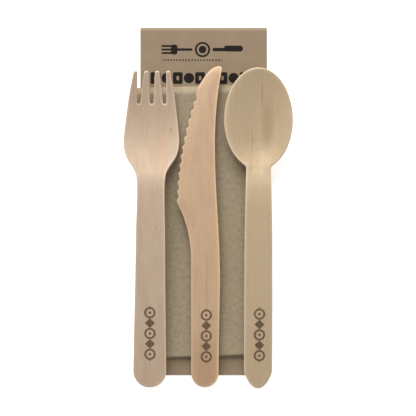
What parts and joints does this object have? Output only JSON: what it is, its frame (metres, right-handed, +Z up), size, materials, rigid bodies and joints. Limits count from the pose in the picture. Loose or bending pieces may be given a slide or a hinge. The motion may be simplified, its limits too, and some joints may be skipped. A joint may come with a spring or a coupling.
{
  "type": "wooden cutlery pack",
  "caption": "Flat set of disposable wooden cutlery: fork, serrated knife and spoon lying on a folded tissue napkin and a flat kraft paper sleeve.",
  "frame": {"origin": "centre of the whole pack's plan, on the surface that it lies on (the sleeve's underside)", "axes": "+Z up out of the faces of the cutlery, +Y along the pieces towards the tines, the blade's tip and the bowl, +X from the fork to the spoon"},
  "size_m": [0.0846, 0.1806, 0.0117],
  "materials": {
    "birch_fork": "uncoated sanded birch veneer, pinkish",
    "birch_knife": "uncoated sanded birch veneer, peach",
    "birch_spoon": "uncoated sanded birch veneer, yellowish",
    "unbleached_tissue": "matt unbleached tissue",
    "kraft_paper": "matt brown kraft paper"
  },
  "bodies": {
    "root": {"wood_fork": "birch_fork", "wood_knife": "birch_knife", "wood_spoon": "birch_spoon", "folded_napkin": "unbleached_tissue", "kraft_sleeve": "kraft_paper"}
  },
  "joints": []
}
